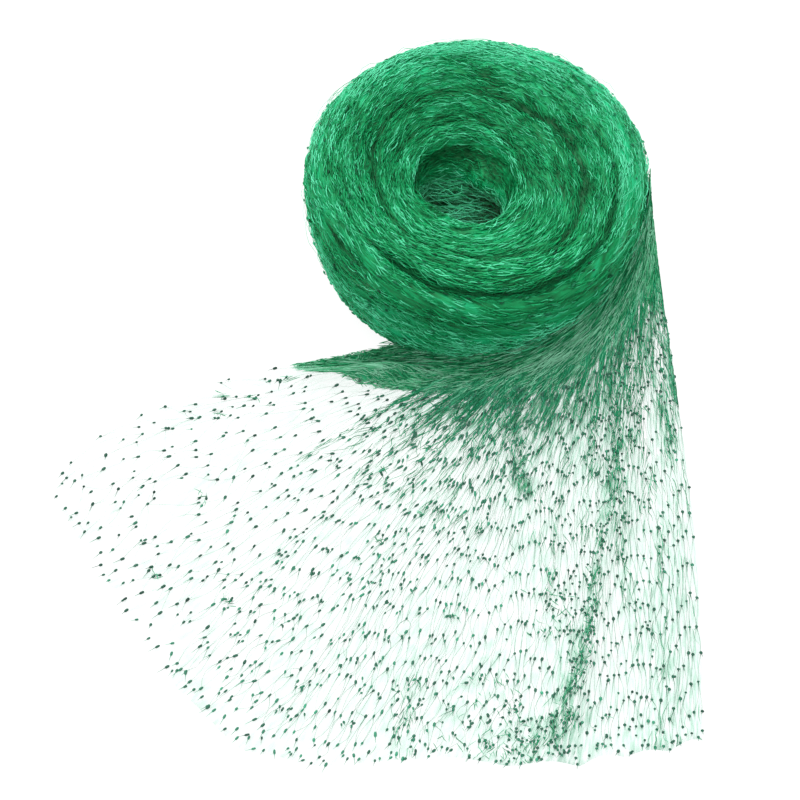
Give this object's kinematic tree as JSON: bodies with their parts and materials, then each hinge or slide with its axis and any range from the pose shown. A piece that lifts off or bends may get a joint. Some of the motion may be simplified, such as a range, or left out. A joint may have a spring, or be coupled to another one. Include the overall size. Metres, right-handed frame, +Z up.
{
  "type": "bird netting roll",
  "caption": "Roll of fine green bird netting, wound round an open middle, with its loose end unwound and spread over the surface as a fan.",
  "frame": {"origin": "middle of the footprint of the roll and its loose end together, on the surface they lie on", "axes": "+Z up along the roll's axis; the roll stands at +X +Y, and the loose end leaves its front and right side and spreads towards -Y and -X"},
  "size_m": [0.317, 0.3863, 0.0804],
  "materials": {
    "wound_netting": "glossy green monofilament, gathered and wound, with small knots",
    "loose_netting": "sheer diamond mesh of hair-thin green thread with darker knots"
  },
  "bodies": {
    "root": {"net_roll": "wound_netting", "loose_end": "loose_netting"}
  },
  "joints": []
}
